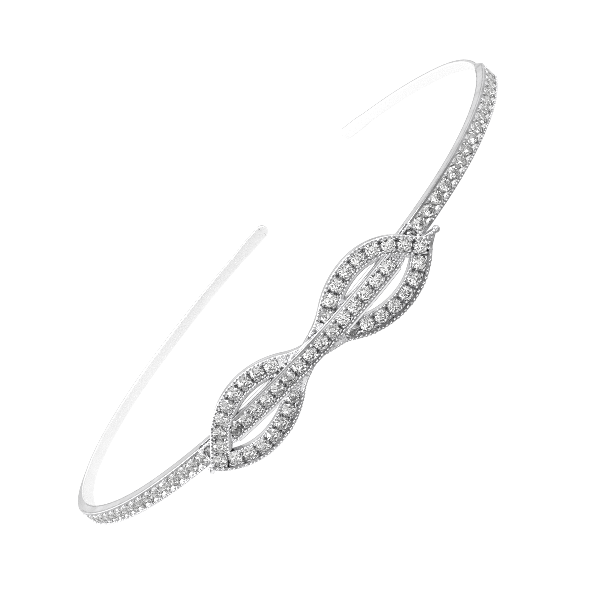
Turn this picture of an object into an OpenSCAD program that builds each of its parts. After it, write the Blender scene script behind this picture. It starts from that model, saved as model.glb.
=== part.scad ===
// Embellished headband: a thin springy metal band with one row of round crystals along its front,
// and a figure-of-eight motif of two crystal strands that cross under the band.
// It lies on its side, on the motif and the two ends of the band.

/* [Band curve] */
// Inner radius of the band's front
front_r = 88; // [80:1:96]
// Length of the front curve on each side of the middle
front_len = 28; // [20:1:34]
// Inner radius between the front and the sides
shoulder_r = 65; // [58:1:72]
// Length of that curve
shoulder_len = 28; // [20:1:34]
// Inner radius of the left side
side_r_left = 44.5; // [42:0.5:47]
// Inner radius of its tighter middle
bend_r_left = 34; // [31:0.5:37]
// Inner radius of the right side
side_r_right = 46; // [43:0.5:49]
// Length of the side curve
side_len = 70; // [62:1:76]
// Length of the left side's tighter middle
bend_len = 22; // [18:1:26]
// Inner radius of the arms behind the sides
arm_r = 96; // [80:1:120]
// Length of the left arm
arm_len_left = 43.7; // [38:0.1:48]
// Length of the right arm
arm_len_right = 42.7; // [38:0.1:46]

/* [Band section] */
// Width of the band where it carries stones
set_w = 4.1; // [3.8:0.1:4.6]
// Thickness of the band where it carries stones
set_t = 2.4; // [2.2:0.1:2.8]
// Width of the plain arms
arm_w = 2.8; // [2.4:0.1:3.4]
// Thickness of the plain arms
arm_t = 1.1; // [0.9:0.1:1.4]
// Length of the smooth stretch on the left that narrows from the one to the other
taper_len_left = 23.4; // [18.2:1.3:26]
// Length of that stretch on the right
taper_len_right = 6.5; // [6.5:1.3:10.4]
// Width of the rounded ends of the arms
tip_w = 3.2; // [3:0.1:4]
// Length of the rounded ends
tip_len = 7; // [5:0.5:10]

/* [Stones] */
// Distance from stone to stone along the band
pitch = 3.07; // [3:0.01:3.2]
// Stones in the band to the left of the motif
left_count = 17; // [15:1:17]
// Stones in the band to the right of the motif
right_count = 16; // [13:1:16]
// Stones in the bar, on each side of the middle one
bar_count = 6; // [5:1:6]
// Girdle diameter of a stone
stone_d = 2.76; // [2.6:0.02:2.8]
// Height of a stone's crown over its girdle
crown_h = 0.5; // [0.3:0.05:0.6]
// Depth of a stone's pavilion under its girdle
pavilion_h = 1; // [0.8:0.05:1.1]
// How far a girdle lies under the edges of the metal
girdle_sink = 0.3; // [0.2:0.05:0.4]
// Clearance between a stone and the metal
seat_gap = 0.1; // [0.1:0.01:0.15]

/* [Motif] */
// Place of the motif's middle along the band, to the right of the band's own middle
motif_s = 16.5; // [10:0.5:20]
// Distance from the motif's middle to the first stone of the band past it
side_start = 31.7; // [31.7:0.1:33]
// Radius of the shell that the motif's face lies on
motif_r = 158; // [150:1:170]
// Turn of the motif that brings both of its ends to the band
motif_turn = 0.8; // [0.4:0.1:1.2]
// Height of the strands' face over the band's inner face where they cross
cross_n = 1.1; // [0.9:0.1:1.3]
// Width of an upper strand from its middle to the slot beside it
upper_in = 2.4; // [1.9:0.05:2.5]
// Width of a lower strand from its middle to the slot beside it
lower_in = 1.9; // [1.8:0.05:2.1]
// Width of an upper strand from its middle to the motif's outline
upper_out = 1.85; // [1.8:0.05:2.1]
// Width of a lower strand from its middle to the motif's outline
lower_out = 2.2; // [1.8:0.05:2.3]
// Thickness of a strand
strand_t = 1.7; // [1.7:0.1:2.2]
// Slope of the strands where they cross
cross_slope = 14; // [13:0.5:15]
// Stones of a left strand before the last one, which both strands share: the upper one's count
left_upper_count = 8; // [7:1:8]
// The lower one's count
left_lower_count = 7; // [6:1:7]
// The same of a right strand, whose first stones the bar covers: the upper one's count
right_upper_count = 7; // [6:1:7]
// The lower one's count
right_lower_count = 6; // [5:1:6]
// Distance from the left side's last stone to the bead on its end
left_tip = 2.5; // [2.3:0.1:3]
// The same on the right side
right_tip = 4.2; // [3.8:0.1:4.4]
// Radius of the small beads on the motif's ends
bead_r = 0.8; // [0.6:0.1:1]

/* [Rest] */
// Rise of the motif's side over the ends of the band, as it lies
tilt = 3.89; // [3:0.01:5]
// Lean to the left, as it lies
lean = -1.03; // [-2:0.01:2]
// Height of the band's middle over the floor
rest_z = 8.57; // [8:0.01:10]
// Place of the part's middle from the band's own middle, to the right and to the back
centre_x = 1.22; // [0:0.01:3]
centre_y = 52.63; // [50:0.01:55]

/* [Hidden] */
$fn = 96;
TALL = 30;
station = 1.3;
overlap = 0.1;
RIGHT = 1;
LEFT = -1;
UPPER = 1;
LOWER = -1;

// A path is a list of pieces [radius, length]: a piece turns left, turns right where its radius is negative,
// and is straight where its radius is 0
function bend(radius, angle) = [radius, abs(radius) * angle * PI / 180];

right_path = [[front_r, front_len], [shoulder_r, shoulder_len], [side_r_right, side_len], [arm_r, arm_len_right]];
left_half = (side_len - bend_len) / 2;
left_path = [
    [front_r, front_len], [shoulder_r, shoulder_len],
    [side_r_left, left_half], [bend_r_left, bend_len], [side_r_left, left_half], [arm_r, arm_len_left]
];

// Each strand seen from the front: a straight start, the radius and the slope of its rise from the bar,
// the radius of its widest place, the radius and the slope of its way back, and its first stone's distance
left_upper = [0.1, 12.4, 37.3, 15.4, 16.7, 42.2, 7.9];
left_lower = [3.6, 13.7, 34.7, 19.6, 14.5, 38, 9.7];
right_upper = [3, 20.6, 31, 16.8, 12, 56.7, 11];
right_lower = [5.7, 8, 38.8, 16.5, 14.8, 41.5, 12.3];

function path_len(path, i = 0) = i == len(path) ? 0 : path[i][1] + path_len(path, i + 1);
right_len = path_len(right_path);
left_len = path_len(left_path);
function turned(piece, s) = piece[0] == 0 ? 0 : s / piece[0] * 180 / PI;

// The place and heading [x, y, degrees] after a distance s along one piece that starts at p
function ahead(p, piece, s) =
    piece[0] == 0
    ? [p[0] + s * cos(p[2]), p[1] + s * sin(p[2]), p[2]]
    : let (a = p[2] + turned(piece, s))
        [p[0] + piece[0] * (sin(a) - sin(p[2])), p[1] - piece[0] * (cos(a) - cos(p[2])), a];

// The same after a distance s along a whole path
function along(path, s, p = [0, 0, 0], i = 0) =
    i == len(path) - 1 || s <= path[i][1]
    ? ahead(p, path[i], s)
    : along(path, s - path[i][1], ahead(p, path[i], path[i][1]), i + 1);

// The place and heading on the band's inner face, s to the right of its middle
function band_at(s) =
    s >= 0 ? along(right_path, s) : let (q = along(left_path, -s)) [-q[0], q[1], -q[2]];

// The place and heading on a strand, seen from the front, s from the crossing
function strand_shape(side, level) =
    side == LEFT ? (level == UPPER ? left_upper : left_lower) : (level == UPPER ? right_upper : right_lower);
function bends(level, shape) = [
    [0, shape[0]], bend(level * shape[1], shape[2] - cross_slope),
    bend(-level * shape[3], shape[2]), bend(-level * shape[4], shape[5])
];
function strand_start(level) = [0, 0, level * cross_slope];

// Both strands of a side run on straight from their last bends to the point where they meet
function meeting(p, q) =
    let (t = ((q[0] - p[0]) * sin(q[2]) - (q[1] - p[1]) * cos(q[2])) / sin(q[2] - p[2]))
        [p[0] + t * cos(p[2]), p[1] + t * sin(p[2])];
function bends_end(side, level) =
    let (path = bends(level, strand_shape(side, level))) along(path, path_len(path), strand_start(level));
function last_stone(side) = meeting(bends_end(side, UPPER), bends_end(side, LOWER));
function strand_path(side, level) =
    let (q = bends_end(side, level))
        concat(bends(level, strand_shape(side, level)), [[0, norm(last_stone(side) - [q[0], q[1]])]]);
function strand_at(side, level, s) = along(strand_path(side, level), s, strand_start(level));

// A point w to the left of a place
function beside(q, w) = [q[0] - w * sin(q[2]), q[1] + w * cos(q[2])];

groove_w = stone_d + 2 * seat_gap;
groove_depth = girdle_sink + pavilion_h + seat_gap;
side_groove = side_start - stone_d / 2 - seat_gap;
function side_count(side) = side == LEFT ? left_count : right_count;
function row_end(side) = side_start + (side_count(side) - 1) * pitch + stone_d / 2 + seat_gap;
function channel_end(side) = row_end(side) + 1;
function taper_len(side) = side == LEFT ? taper_len_left : taper_len_right;
bar_end = bar_count * pitch + stone_d / 2 + seat_gap;
// Metal round the groove of the last stone
rim = 0.35;

// Stones of a strand: the first one's distance from the crossing, and how many there are before the shared last one
function first_stone(side, level) = strand_shape(side, level)[6];
function strand_count(side, level) =
    side == LEFT
    ? (level == UPPER ? left_upper_count : left_lower_count)
    : (level == UPPER ? right_upper_count : right_lower_count);

// Children stand on the band's inner face, with X along the band and -Y outward
module on_band(s) {
    q = band_at(s);
    translate([q[0], q[1], 0]) rotate([0, 0, q[2]]) children();
}

// Children are seen from the front: their X runs along the band, their Y is up and their Z is outward
module facing() rotate([90, 0, 0]) children();

// A point of the band, s to the right of its middle and n outward from its inner face
function on_plan(s, n) = let (q = band_at(s)) [q[0] + n * sin(q[2]), q[1] - n * cos(q[2])];

// The curve is drawn through stations, and a stretch starts and ends at one
function snap(s) = station * round(s / station);

// A stretch of band of width w, from height n0 to height n1 over the inner face
module strip(a, b, n0, n1, w) {
    stops = [for (i = [round(a / station) : round(b / station)]) i * station];
    back = [for (i = [len(stops) - 1 : -1 : 0]) stops[i]];
    linear_extrude(height = w, center = true)
        polygon(concat([for (s = stops) on_plan(s, n1)], [for (s = back) on_plan(s, n0)]));
}

// A stretch with round ends, seen from the front, whose middles are at a and b
module rounded_strip(a, b, w, t) {
    strip(a, b, 0, t, w);
    for (e = [a, b])
        intersection() {
            strip(e - w, e + w, 0, t, w);
            on_band(snap(e)) facing() cylinder(r = w / 2, h = TALL, center = true);
        }
}

// A groove that holds a row of stones, between two distances from the motif's middle
module groove(from, to) strip(motif_s + from, motif_s + to, set_t - groove_depth, set_t + 2, groove_w);

// The smooth stretch past the last stone, from the thick section to the thin one
module taper(side) {
    from = snap(motif_s + side * channel_end(side));
    count = round(taper_len(side) / station);
    half = taper_len(side) / 2;
    top = [for (i = [0 : count]) set_t + (arm_t - overlap - set_t) * i / count];
    slope = (set_w - arm_w) / 2 / (taper_len(side) - 4 * overlap);
    intersection() {
        linear_extrude(height = set_w, center = true)
            polygon(concat(
                [for (i = [0 : count]) on_plan(from + side * i * station, top[i])],
                [for (i = [count : -1 : 0]) on_plan(from + side * i * station, 0)]
            ));
        on_band(from + side * half)
            facing()
                linear_extrude(height = TALL, center = true)
                    polygon([
                        [-side * 2 * half, arm_w / 2 + slope * 3 * half],
                        [side * 2 * half, arm_w / 2 - slope * half],
                        [side * 2 * half, slope * half - arm_w / 2],
                        [-side * 2 * half, -arm_w / 2 - slope * 3 * half]
                    ]);
    }
}

// Band
module band() {
    difference() {
        union() {
            strip(-left_len, right_len, 0, arm_t, arm_w);
            strip(motif_s - channel_end(LEFT), motif_s + channel_end(RIGHT), 0, set_t, set_w);
            taper(LEFT);
            taper(RIGHT);
            rounded_strip(-left_len, tip_len - left_len, tip_w, arm_t);
            rounded_strip(right_len - tip_len, right_len, tip_w, arm_t);
        }
        groove(-row_end(LEFT), -side_groove);
        groove(side_groove, row_end(RIGHT));
    }
}

// The outline of one strand on one side of the motif, from distance a to its end: it reaches out to the motif's
// outline and in to the slot
module strand_outline(side, level, out, in, a) {
    path = strand_path(side, level);
    whole = path_len(path);
    count = ceil((whole - a) / 1.5);
    places = [for (i = [0 : count]) along(path, a + (whole - a) * i / count, strand_start(level))];
    polygon(concat(
        [for (q = places) beside(q, level * out)],
        [for (i = [count : -1 : 0]) beside(places[i], -level * in)]
    ));
}

// Children on one side of the motif: X runs from the crossing to the motif's end
module on_motif(side) {
    on_band(motif_s)
        rotate([0, 0, motif_turn])
            mirror([side == LEFT ? 1 : 0, 0, 0]) children();
}

// A layer of the shell that the motif lies on, between two depths under its face
module layer(from, to) {
    reach = 15;
    angles = [for (i = [-reach : reach]) i];
    back = [for (i = [reach : -1 : -reach]) i];
    function at(a, depth) = [(motif_r - depth) * sin(a), motif_r - cross_n - (motif_r - depth) * cos(a)];
    linear_extrude(height = TALL, center = true)
        polygon(concat([for (a = angles) at(a, from)], [for (a = back) at(a, to)]));
}

// One side of the motif without its grooves, and its grooves
module loop_body(side) {
    last = last_stone(side);
    tip = side == LEFT ? left_tip : right_tip;
    upper_corner = beside([last[0], last[1], bends_end(side, UPPER)[2]], upper_out);
    lower_corner = beside([last[0], last[1], bends_end(side, LOWER)[2]], -lower_out);
    intersection() {
        facing() linear_extrude(height = TALL, center = true) {
            strand_outline(side, UPPER, upper_out, upper_in, 0);
            strand_outline(side, LOWER, lower_out, lower_in, 0);
            translate(last) circle(r = groove_w / 2 + rim);
            polygon([upper_corner, last + [tip + bead_r / 2, 0], lower_corner, last - [1, 0]]);
        }
        layer(0, strand_t);
    }
    at_face(last[0] + tip, last[1]) sphere(r = bead_r);
}

module loop_grooves(side) {
    intersection() {
        facing() linear_extrude(height = TALL, center = true) {
            for (level = [UPPER, LOWER])
                strand_outline(side, level, groove_w / 2, groove_w / 2, first_stone(side, level) - groove_w / 2);
            translate(last_stone(side)) circle(r = groove_w / 2);
        }
        layer(-1, groove_depth);
    }
}

// Children stand on the motif's face at a place seen from the front, with -Y outward
module at_face(x, z) {
    translate([0, motif_r - cross_n, z])
        rotate([0, 0, asin(x / motif_r)])
            translate([0, -motif_r, 0]) children();
}

// Stones
module stone() {
    table_r = 0.28 * stone_d;
    edge_h = 0.06;
    translate([0, girdle_sink, 0])
        facing()
            rotate_extrude($fn = 8)
                polygon([
                    [0, -pavilion_h], [stone_d / 2, -edge_h], [stone_d / 2, 0], [table_r, crown_h], [0, crown_h]
                ]);
}

module row_stone(s) on_band(s) translate([0, -set_t, 0]) stone();

module band_stones(side) {
    color("white")
        at_rest()
            for (i = [0 : side_count(side) - 1]) row_stone(motif_s + side * (side_start + i * pitch));
}

module bar_stones() {
    color("white")
        at_rest()
            for (i = [-bar_count : bar_count]) row_stone(motif_s + i * pitch);
}

// The upper strand's row runs on to the stone that both strands share
module loop_stones(side, level) {
    last = strand_count(side, level) - (level == UPPER ? 0 : 1);
    first = first_stone(side, level);
    gap = (path_len(strand_path(side, level)) - first) / strand_count(side, level);
    color("white")
        at_rest()
            on_motif(side)
                for (i = [0 : last]) {
                    q = strand_at(side, level, first + i * gap);
                    at_face(q[0], q[1]) stone();
                }
}

// Metal
module frame() {
    color("silver")
        at_rest()
            difference() {
                union() {
                    band();
                    for (side = [LEFT, RIGHT])
                        on_motif(side)
                            difference() {
                                loop_body(side);
                                loop_grooves(side);
                            }
                }
                groove(-bar_end, bar_end);
            }
}

// The part lies on its lower edge, with its motif's side raised
module at_rest() {
    translate([-centre_x, -centre_y, rest_z]) rotate([-tilt, lean, 0]) children();
}

frame();
band_stones(LEFT);  // band_stones_left
band_stones(RIGHT);  // band_stones_right
bar_stones();
loop_stones(LEFT, UPPER);  // loop_left_upper_stones
loop_stones(LEFT, LOWER);  // loop_left_lower_stones
loop_stones(RIGHT, UPPER);  // loop_right_upper_stones
loop_stones(RIGHT, LOWER);  // loop_right_lower_stones
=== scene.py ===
# %% [markdown]
# A springy metal headband with one row of round crystals, and a figure-of-eight motif on its front.
# The solids of the part come first: every piece made below lies where they say.

# %% Load the part
import math
import random
import bmesh
import bpy
from mathutils import Matrix, Vector


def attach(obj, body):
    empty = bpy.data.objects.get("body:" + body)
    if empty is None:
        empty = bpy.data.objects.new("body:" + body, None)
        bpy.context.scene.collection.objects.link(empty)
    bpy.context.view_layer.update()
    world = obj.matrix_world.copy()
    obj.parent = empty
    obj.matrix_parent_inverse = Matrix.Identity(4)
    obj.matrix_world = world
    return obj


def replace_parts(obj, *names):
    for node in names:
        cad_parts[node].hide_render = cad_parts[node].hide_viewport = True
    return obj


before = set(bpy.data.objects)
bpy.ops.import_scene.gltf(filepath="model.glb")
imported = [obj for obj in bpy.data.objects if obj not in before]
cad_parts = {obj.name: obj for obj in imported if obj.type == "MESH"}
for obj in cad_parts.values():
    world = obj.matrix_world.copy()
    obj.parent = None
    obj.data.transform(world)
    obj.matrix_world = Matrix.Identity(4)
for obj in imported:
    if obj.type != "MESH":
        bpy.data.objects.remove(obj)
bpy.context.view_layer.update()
print("nodes:", sorted(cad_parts))

# %% [markdown]
# A jeweller works in millimetres and Blender in metres, so every size of the piece is in millimetres on
# the upright headband, and one matrix lays the finished points down at rest in metres.
# It could be an empty that all the pieces hang from, but then their meshes would lie somewhere else.

# %% From the upright headband to the floor
MM = 0.001
CENTRE_X, CENTRE_Y, REST_Z = 1.22, 52.63, 8.57
LEAN, TILT = 1.03, 3.89
REST = (
    Matrix.Scale(MM, 4)
    @ Matrix.Translation((-CENTRE_X, -CENTRE_Y, REST_Z))
    @ Matrix.Rotation(math.radians(-LEAN), 4, "Y")
    @ Matrix.Rotation(math.radians(-TILT), 4, "X")
)
print("band's middle at", [round(v, 4) for v in REST @ Vector((0, 0, 0))])

# %% [markdown]
# The band is bent from arcs that run into each other without a corner. A path is a list of arcs, each a
# radius and a length: it turns left, or right where the radius is negative, and 0 is straight.
# A curve object could hold it, but arcs give the heading at each stone exactly.

# %% Paths made of arcs
def ahead(place, radius, s):
    x, y, turn = place
    if radius == 0:
        return x + s * math.cos(turn), y + s * math.sin(turn), turn
    new = turn + s / radius
    x, y = x + radius * (math.sin(new) - math.sin(turn)), y - radius * (math.cos(new) - math.cos(turn))
    return x, y, new


def along(path, s, start=(0, 0, 0)):
    place = start
    for radius, length in path[:-1]:
        if s <= length:
            return ahead(place, radius, s)
        place = ahead(place, radius, length)
        s -= length
    return ahead(place, path[-1][0], s)


def bend(radius, degrees):
    return radius, abs(radius) * math.radians(degrees)


def length_of(path):
    return sum(length for radius, length in path)


RIGHT_PATH = [(88, 28), (65, 28), (46, 70), (96, 42.7)]
LEFT_PATH = [(88, 28), (65, 28), (44.5, 24), (34, 22), (44.5, 24), (96, 43.7)]
RIGHT_END, LEFT_END = length_of(RIGHT_PATH), -length_of(LEFT_PATH)
print("band runs from", LEFT_END, "to", RIGHT_END)

# %% [markdown]
# A point of the band is told by the distance s along its inner face, the height z across its width and
# the distance n outward. The left half is the mirror of a path that runs to the right.

# %% Points on the band
def band_at(s):
    if s >= 0:
        return along(RIGHT_PATH, s)
    x, y, turn = along(LEFT_PATH, -s)
    return -x, y, -turn


def band_point(s, z, n):
    x, y, turn = band_at(s)
    return Vector((x + n * math.sin(turn), y - n * math.cos(turn), z))


def band_frame(s):
    turn = band_at(s)[2]
    return Vector((math.cos(turn), math.sin(turn), 0)), Vector((math.sin(turn), -math.cos(turn), 0))


print("right tip at", [round(v, 1) for v in band_point(RIGHT_END, 0, 0)])

# %% [markdown]
# The motif is a flat eight that was pressed onto a large drum before it was soldered on: its face lies
# on a shell of 158 mm radius. Each side has an upper and a lower strand from the crossing to a stone
# that both share, and a point is told by the strand, its s, its distance u to the outer side and n.
# The two sides were bent by hand and aren't alike: the right one has a longer, slimmer neck.

# %% Points on the motif
MOTIF_S, SHELL, CROSS_N, CROSS_SLOPE, MOTIF_TURN = 16.5, 158, 1.1, 14, 0.8
CROSSING = (0, 0, math.radians(CROSS_SLOPE))
RIGHT, LEFT, UPPER, LOWER = 1, -1, 1, -1
SIDE_NAME, LEVEL_NAME = {RIGHT: "right", LEFT: "left"}, {UPPER: "upper", LOWER: "lower"}
STRANDS = [(side, level) for side in (RIGHT, LEFT) for level in (UPPER, LOWER)]


def strand_bends(straight, rise_r, rise, top_r, back_r, back):
    """A straight start, a bend up to the rise's slope, level at the top, down to the end's slope"""
    return [(0, straight), bend(rise_r, rise - CROSS_SLOPE), bend(-top_r, rise), bend(-back_r, back)]


STRAND = {
    (LEFT, UPPER): strand_bends(0.1, 12.4, 37.3, 15.4, 16.7, 42.2),
    (LEFT, LOWER): strand_bends(3.6, 13.7, 34.7, 19.6, 14.5, 38),
    (RIGHT, UPPER): strand_bends(3, 20.6, 31, 16.8, 12, 56.7),
    (RIGHT, LOWER): strand_bends(5.7, 8, 38.8, 16.5, 14.8, 41.5),
}


def strand_at(side, level, s):
    x, z, turn = along(STRAND[side, level], s, CROSSING)
    return x, level * z, level * turn


def strand_end(side, level):
    x, z, turn = strand_at(side, level, length_of(STRAND[side, level]))
    return Vector((x, z)), Vector((math.cos(turn), math.sin(turn)))


def meet(side):
    """Both strands of a side run straight on from their last bends to the stone that they share"""
    (p, a), (q, b) = strand_end(side, UPPER), strand_end(side, LOWER)
    t = ((q - p).x * b.y - (q - p).y * b.x) / (a.x * b.y - a.y * b.x)
    return p + t * a


SHARED = {side: meet(side) for side in (RIGHT, LEFT)}
for side, level in STRANDS:
    STRAND[side, level].append((0, (SHARED[side] - strand_end(side, level)[0]).length))
WHOLE = {strand: length_of(STRAND[strand]) for strand in STRANDS}


def beside(side, level, s, u):
    x, z, turn = strand_at(side, level, s)
    return x - level * u * math.sin(turn), z + level * u * math.cos(turn)


MOTIF = (
    Matrix.Translation(band_point(MOTIF_S, 0, 0))
    @ Matrix.Rotation(band_at(MOTIF_S)[2], 4, "Z")
    @ Matrix.Rotation(math.radians(MOTIF_TURN), 4, "Z")
)


def face_point(side, x, z, n):
    a = math.asin(x / SHELL)
    r = SHELL + n
    return MOTIF @ Vector((side * r * math.sin(a), SHELL - CROSS_N - r * math.cos(a), z))


def face_out(side, x):
    a = math.asin(x / SHELL)
    return (MOTIF.to_3x3() @ Vector((side * math.sin(a), -math.cos(a), 0))).normalized()


print("shared stones at", [[round(v, 2) for v in SHARED[side]] for side in SHARED])

# %% [markdown]
# The camera stands high to the right of the front and is rolled, so that the band runs up across the
# picture. It is a long lens far away, as for jewellery, so that nearby stones aren't swollen.
# A track-to constraint could aim it, but the roll is easier as a turn about its own axis.

# %% Camera
LENS, SENSOR = 90, 36


def in_scene(name, data):
    thing = bpy.data.objects.new(name, data)
    bpy.context.scene.collection.objects.link(thing)
    return thing


def aimed(place, aim):
    way = Vector(aim) - Vector(place)
    return Matrix.Translation(place) @ way.to_track_quat("-Z", "Y").to_matrix().to_4x4()


def set_camera(place, aim, roll):
    data = bpy.data.cameras.new("camera")
    data.lens, data.sensor_width = LENS, SENSOR
    data.clip_start, data.clip_end = 0.01, 20
    camera = in_scene("camera", data)
    camera.matrix_world = aimed(place, aim) @ Matrix.Rotation(math.radians(roll), 4, "Z")
    bpy.context.scene.camera = camera
    return camera


camera = set_camera(place=(0.12619, -0.29476, 0.11027), aim=(0.00388, -0.00824, 0.00144), roll=-51.14)
print("camera is", round(camera.location.length, 3), "m away")

# %% [markdown]
# A shader is a tree of nodes. They could be joined by hand in the editor, but a few helpers can be read:
# a plain value is set on a node's socket, and another node's output is linked to it.

# %% Shader nodes
def fill(tree, node, values):
    for socket, value in values.items():
        if isinstance(value, bpy.types.NodeSocket):
            tree.links.new(value, node.inputs[socket])
        else:
            node.inputs[socket].default_value = value


def new_node(tree, kind, values=None, **choices):
    node = tree.nodes.new(kind)
    for name, choice in choices.items():
        setattr(node, name, choice)
    fill(tree, node, values or {})
    return node


def step_up(tree, value, low, high, to_low=0.0, to_high=1.0):
    """Goes softly from one value to another while the given value rises from low to high"""
    values = {"Value": value, "From Min": low, "From Max": high, "To Min": to_low, "To Max": to_high}
    return new_node(tree, "ShaderNodeMapRange", values, interpolation_type="SMOOTHSTEP").outputs["Result"]


def blend(tree, share, a, b):
    values = {"Factor": share, "A": a, "B": b}
    return new_node(tree, "ShaderNodeMix", values, data_type="FLOAT").outputs["Result"]


def times(tree, a, b):
    return new_node(tree, "ShaderNodeMath", {0: a, 1: b}, operation="MULTIPLY").outputs[0]


def measured(tree, operation, place, other):
    node = new_node(tree, "ShaderNodeVectorMath", {0: place, 1: other}, operation=operation)
    return node.outputs["Value"]


def plain_to_camera(tree, light):
    """The camera itself sees white paper, whatever the metal mirrors"""
    path = new_node(tree, "ShaderNodeLightPath")
    return blend(tree, path.outputs["Is Camera Ray"], light, PAPER_WHITE)


def new_finish(name):
    finish = bpy.data.materials.new(name)
    finish.use_nodes = True
    return finish, finish.node_tree, finish.node_tree.nodes["Principled BSDF"]


PAPER_WHITE = 1.05
print("paper white is", PAPER_WHITE)

# %% [markdown]
# Polished metal and cut stones show little but what stands around them, so a photographer puts such a
# piece into a tent of white cloth. It is painted on the sky here by direction: a darker horizon, black
# and white cards on the photographer's side that draw lines into the facets, a wall behind that is a
# little grey low down, a lamp behind the cloth on the left, and a roof of thicker cloth. A panorama
# could do it too, but here each card is a number. The Light Path node keeps all of it from the camera.

# %% Tent of light
CAMERA_SIDE = Vector((0.394, -0.919, 0)).normalized()
TENT_CARD_SCALE, TENT_CARD_DETAIL = 3.4, 0.5
# Each row: where a change starts and ends, and the light before and after it
TENT = {
    "horizon": (0.06, 0.16, 0.4, 1.15),
    "card": (0.49, 0.53, 0.02, 1.28),
    "front": (0.25, 0.65),
    "low_wall": (0.14, 0.36, 0.95, 1),
    "behind": (-0.85, -0.6),
    "left_lamp": (-0.85, -0.5, 1.75, 1),
    "roof": (0.6, 0.9, 1, 0.55),
}


def white_tent():
    world = bpy.data.worlds.new("tent")
    bpy.context.scene.world = world
    world.use_nodes = True
    tree = world.node_tree
    where = new_node(tree, "ShaderNodeTexCoord").outputs["Generated"]
    part = new_node(tree, "ShaderNodeSeparateXYZ", {"Vector": where}).outputs
    toward = measured(tree, "DOT_PRODUCT", where, CAMERA_SIDE)
    light = step_up(tree, part["Z"], *TENT["horizon"])
    values = {"Vector": where, "Scale": TENT_CARD_SCALE, "Detail": TENT_CARD_DETAIL}
    card = step_up(tree, new_node(tree, "ShaderNodeTexNoise", values).outputs["Fac"], *TENT["card"])
    light = times(tree, light, blend(tree, step_up(tree, toward, *TENT["front"]), 1, card))
    low_wall = step_up(tree, part["Z"], *TENT["low_wall"])
    light = times(tree, light, blend(tree, step_up(tree, toward, *TENT["behind"]), low_wall, 1))
    light = times(tree, light, step_up(tree, part["X"], *TENT["left_lamp"]))
    light = times(tree, light, step_up(tree, part["Z"], *TENT["roof"]))
    fill(tree, tree.nodes["Background"], {"Strength": plain_to_camera(tree, light), "Color": (1, 1, 1, 1)})


white_tent()
settings = bpy.context.scene.view_settings
settings.view_transform, settings.look, settings.exposure, settings.gamma = "Standard", "None", 0, 1
print("tent:", TENT)

# %% [markdown]
# The floor is a lit table: a white sheet of plastic with lamps under it, the usual way to photograph
# jewellery with no shadow. It is a little dimmer on the near side, where dark cards lie on it, and the
# metal's lower sides mirror them. A grey card lies inside the ring, which only the backs mirror.
# Real cards would show in the picture, so they are a mask on the table that the camera doesn't see.

# %% Lit table
TABLE_HALF = 3
TABLE_CARD_SCALE, TABLE_CARD_LAY, INNER_CARD = 30, 2.6, (0.0, -0.02, 0.0)
TABLE = {
    "lamps": (0.01, 0.07, 1.0, 0.95),
    "near": (0.01, 0.07),
    "card": (0.46, 0.50, 0.27, 1),
    "inner_card": (0.02, 0.045, 0.45, 1),
}


def new_mesh(name, points, faces, finishes):
    mesh = bpy.data.meshes.new(name)
    mesh.from_pydata(points, [], faces)
    for finish in finishes:
        mesh.materials.append(finish)
    return mesh


def lit_plastic():
    finish, tree, shader = new_finish("lit_plastic")
    where = new_node(tree, "ShaderNodeTexCoord").outputs["Object"]
    toward = measured(tree, "DOT_PRODUCT", where, CAMERA_SIDE)
    values = {"Vector": where, "W": TABLE_CARD_LAY, "Scale": TABLE_CARD_SCALE, "Detail": 1}
    cards = new_node(tree, "ShaderNodeTexNoise", values, noise_dimensions="4D").outputs["Fac"]
    laid = blend(tree, step_up(tree, toward, *TABLE["near"]), 1, step_up(tree, cards, *TABLE["card"]))
    light = times(tree, step_up(tree, toward, *TABLE["lamps"]), laid)
    inner = step_up(tree, measured(tree, "DISTANCE", where, INNER_CARD), *TABLE["inner_card"])
    light = plain_to_camera(tree, times(tree, light, inner))
    fill(tree, shader, {"Base Color": (0.02, 0.02, 0.02, 1), "Roughness": 0.8, "Specular IOR Level": 0})
    fill(tree, shader, {"Emission Color": (1, 1, 1, 1), "Emission Strength": light})
    return finish


def lit_table():
    corners = [(x * TABLE_HALF, y * TABLE_HALF, 0) for x, y in ((-1, -1), (1, -1), (1, 1), (-1, 1))]
    table = in_scene("table", new_mesh("table", corners, [(0, 1, 2, 3)], [lit_plastic()]))


lit_table()
print("table:", TABLE)

# %% [markdown]
# Soft boxes above and at both sides give the metal and the stones their brightest spots. Area lights are
# the soft boxes of Blender: their size softens the light, and they show in the metal as bright fields.

# %% Soft boxes
def soft_box(name, place, size, power):
    data = bpy.data.lights.new(name, "AREA")
    data.shape, data.size, data.size_y = "RECTANGLE", size[0], size[1]
    data.energy = power
    in_scene(name, data).matrix_world = aimed(place, (0, 0, 0))


soft_box("box_above", place=(-0.1, 0.1, 0.9), size=(0.4, 0.25), power=3)
soft_box("box_left", place=(-0.8, -0.5, 0.45), size=(0.12, 0.4), power=3)
soft_box("box_right", place=(0.7, -0.5, 0.6), size=(0.12, 0.4), power=3)
print("lights:", [light.name for light in bpy.data.lights])

# %% [markdown]
# Plated metal is never quite even: the polish leaves soft clouds of haze, and wiping leaves fine lines.
# All the metals and the stones use this effect, so it is one shader group with its own inputs, and each
# material keeps its own shader and values.

# %% Polish, haze and wiping lines
HAZE_FROM, HAZE_TO = 0.35, 0.68
WIPE_STRETCH, WIPE_TURN = (1, 1, 0.08), (0.3, 1.2, 0.5)


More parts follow.
